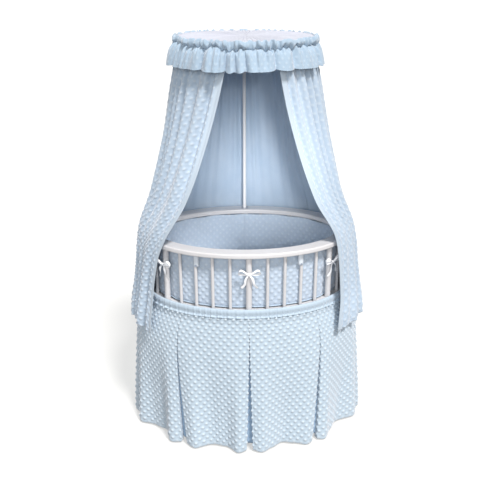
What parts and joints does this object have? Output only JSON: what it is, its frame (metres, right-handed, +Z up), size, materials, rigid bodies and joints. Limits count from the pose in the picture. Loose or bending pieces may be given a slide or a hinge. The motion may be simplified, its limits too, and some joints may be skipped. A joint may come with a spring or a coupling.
{
  "type": "baby crib",
  "caption": "Oval slatted baby crib on casters, with padded bumper, pleated dotted skirt and a pole canopy whose curtains drape over the sides.",
  "frame": {"origin": "on the floor under the middle of the oval", "axes": "+Z up, -Y towards the open front of the canopy, +X along the oval's length"},
  "size_m": [0.94, 0.6918, 1.518],
  "materials": {
    "painted_wood": "satin white paint",
    "board": "smooth pale board",
    "dimple_cloth": "short plush pile with small raised dots, pale blue",
    "inner_cloth": "the same cloth in shade, plain",
    "padded_cloth": "padded plush, pale blue",
    "plain_cloth": "fine pleated cloth, very pale",
    "ribbon": "white satin ribbon",
    "ticking": "plain woven cover",
    "painted_steel": "white powder coat",
    "steel": "plain",
    "knob_plastic": "moulded",
    "caster_metal": "zinc plated",
    "caster_tread": "grey tread",
    "brake_plastic": "moulded"
  },
  "bodies": {
    "frame": {"bows": "ribbon", "bumper_left": "padded_cloth", "bumper_right": "padded_cloth", "bumper_tabs": "dimple_cloth", "leg_bl": "painted_wood", "leg_br": "painted_wood", "leg_fl": "painted_wood", "leg_fr": "painted_wood", "leg_screws": "steel", "lower_rail": "painted_wood", "mattress_board": "board", "pole_ferrule": "steel", "post_back": "painted_wood", "post_front": "painted_wood", "shelf": "board", "shelf_screws": "steel", "skirt_band": "dimple_cloth", "skirt_panel_1": "dimple_cloth", "skirt_panel_10": "dimple_cloth", "skirt_panel_2": "dimple_cloth", "skirt_panel_3": "dimple_cloth", "skirt_panel_4": "dimple_cloth", "skirt_panel_5": "dimple_cloth", "skirt_panel_6": "dimple_cloth", "skirt_panel_7": "dimple_cloth", "skirt_panel_8": "dimple_cloth", "skirt_panel_9": "dimple_cloth", "skirt_pleats": "inner_cloth", "slats_back_left": "painted_wood", "slats_back_right": "painted_wood", "slats_front_left": "painted_wood", "slats_front_right": "painted_wood", "slats_left": "painted_wood", "slats_right": "painted_wood", "stretchers": "painted_wood", "top_rail": "painted_wood"},
    "canopy": {"pole": "painted_steel", "pole_tee": "painted_steel", "hoop": "painted_steel", "hoop_bar": "painted_steel", "canopy_cover": "plain_cloth", "ruffle": "dimple_cloth", "curtain_left": "dimple_cloth", "curtain_right": "dimple_cloth", "curtain_back": "dimple_cloth"},
    "mattress": {"mattress": "ticking"},
    "clamp_knob": {"clamp_knob": "knob_plastic"},
    "caster_fork_fr": {"caster_fork_fr": "caster_metal"},
    "caster_wheel_fr": {"caster_wheel_fr": "caster_tread"},
    "caster_brake_fr": {"caster_brake_fr": "brake_plastic"},
    "caster_fork_br": {"caster_fork_br": "caster_metal"},
    "caster_wheel_br": {"caster_wheel_br": "caster_tread"},
    "caster_brake_br": {"caster_brake_br": "brake_plastic"},
    "caster_fork_bl": {"caster_fork_bl": "caster_metal"},
    "caster_wheel_bl": {"caster_wheel_bl": "caster_tread"},
    "caster_brake_bl": {"caster_brake_bl": "brake_plastic"},
    "caster_fork_fl": {"caster_fork_fl": "caster_metal"},
    "caster_wheel_fl": {"caster_wheel_fl": "caster_tread"},
    "caster_brake_fl": {"caster_brake_fl": "brake_plastic"}
  },
  "joints": [
    {"name": "canopy_lift", "type": "slide", "parent": "frame", "child": "canopy", "axis": [0, 0, 1], "range_m": [0, 0.07]},
    {"name": "mattress_lift", "type": "slide", "parent": "frame", "child": "mattress", "axis": [0, 0, 1], "range_m": [0, 0.15]},
    {"name": "clamp_turn", "type": "hinge", "parent": "frame", "child": "clamp_knob", "pos_m": [0, 0.277, 0.7935], "axis": [0, 1, 0], "range_deg": [0, 360]},
    {"name": "swivel_fr", "type": "hinge", "parent": "frame", "child": "caster_fork_fr", "pos_m": [0.30493, -0.14475, 0.085], "axis": [0, 0, 1], "continuous": true},
    {"name": "roll_fr", "type": "hinge", "parent": "caster_fork_fr", "child": "caster_wheel_fr", "pos_m": [0.30493, -0.12675, 0.025], "axis": [1, 0, 0], "continuous": true},
    {"name": "brake_fr", "type": "hinge", "parent": "caster_fork_fr", "child": "caster_brake_fr", "pos_m": [0.30493, -0.10075, 0.044], "axis": [-1, 0, 0], "range_deg": [0, 22]},
    {"name": "swivel_br", "type": "hinge", "parent": "frame", "child": "caster_fork_br", "pos_m": [0.30493, 0.14475, 0.085], "axis": [0, 0, 1], "continuous": true},
    {"name": "roll_br", "type": "hinge", "parent": "caster_fork_br", "child": "caster_wheel_br", "pos_m": [0.30493, 0.16275, 0.025], "axis": [1, 0, 0], "continuous": true},
    {"name": "brake_br", "type": "hinge", "parent": "caster_fork_br", "child": "caster_brake_br", "pos_m": [0.30493, 0.18875, 0.044], "axis": [-1, 0, 0], "range_deg": [0, 22]},
    {"name": "swivel_bl", "type": "hinge", "parent": "frame", "child": "caster_fork_bl", "pos_m": [-0.30493, 0.14475, 0.085], "axis": [0, 0, 1], "continuous": true},
    {"name": "roll_bl", "type": "hinge", "parent": "caster_fork_bl", "child": "caster_wheel_bl", "pos_m": [-0.30493, 0.16275, 0.025], "axis": [1, 0, 0], "continuous": true},
    {"name": "brake_bl", "type": "hinge", "parent": "caster_fork_bl", "child": "caster_brake_bl", "pos_m": [-0.30493, 0.18875, 0.044], "axis": [-1, 0, 0], "range_deg": [0, 22]},
    {"name": "swivel_fl", "type": "hinge", "parent": "frame", "child": "caster_fork_fl", "pos_m": [-0.30493, -0.14475, 0.085], "axis": [0, 0, 1], "continuous": true},
    {"name": "roll_fl", "type": "hinge", "parent": "caster_fork_fl", "child": "caster_wheel_fl", "pos_m": [-0.30493, -0.12675, 0.025], "axis": [1, 0, 0], "continuous": true},
    {"name": "brake_fl", "type": "hinge", "parent": "caster_fork_fl", "child": "caster_brake_fl", "pos_m": [-0.30493, -0.10075, 0.044], "axis": [-1, 0, 0], "range_deg": [0, 22]}
  ]
}
